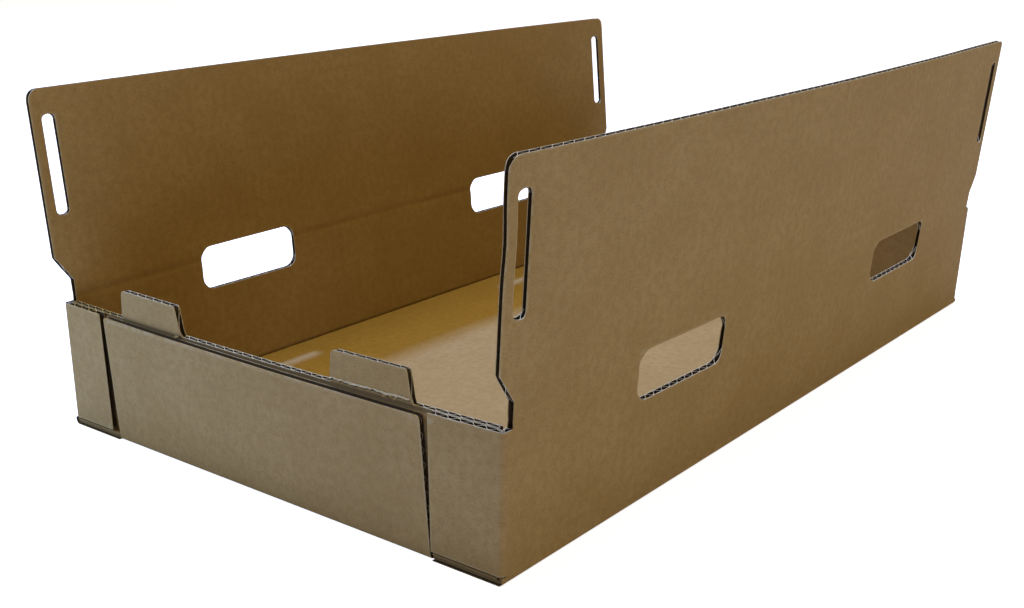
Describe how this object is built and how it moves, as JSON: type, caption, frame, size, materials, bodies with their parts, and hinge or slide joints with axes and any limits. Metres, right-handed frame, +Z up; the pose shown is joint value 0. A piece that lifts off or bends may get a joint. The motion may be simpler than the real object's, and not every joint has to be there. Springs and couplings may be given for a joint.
{
  "type": "corrugated cardboard tray box",
  "caption": "Shallow corrugated board tray with hand holes and two side flaps that fold in and lock over tabs on its end panels.",
  "frame": {"origin": "centre of the floor's underside", "axes": "+Z up; +Y along the tray, away from the pictured end; +X to the right seen from that end"},
  "size_m": [0.3782, 0.607, 0.2162],
  "materials": {
    "corrugated_board": "plain brown kraft liners on a fluted medium, matt and fibrous"
  },
  "bodies": {
    "tray": {"tray_body": "corrugated_board", "front_end_panel": "corrugated_board", "rear_end_panel": "corrugated_board"},
    "right_flap": {"right_lid_flap": "corrugated_board"},
    "left_flap": {"left_lid_flap": "corrugated_board"}
  },
  "joints": [
    {"name": "right_flap_crease", "type": "hinge", "parent": "tray", "child": "right_flap", "pos_m": [0.176, 0, 0.086], "axis": [0, -1, 0], "range_deg": [-85.1, 94.9]},
    {"name": "left_flap_crease", "type": "hinge", "parent": "tray", "child": "left_flap", "pos_m": [-0.176, 0, 0.086], "axis": [0, 1, 0], "range_deg": [-85.1, 94.9]}
  ]
}
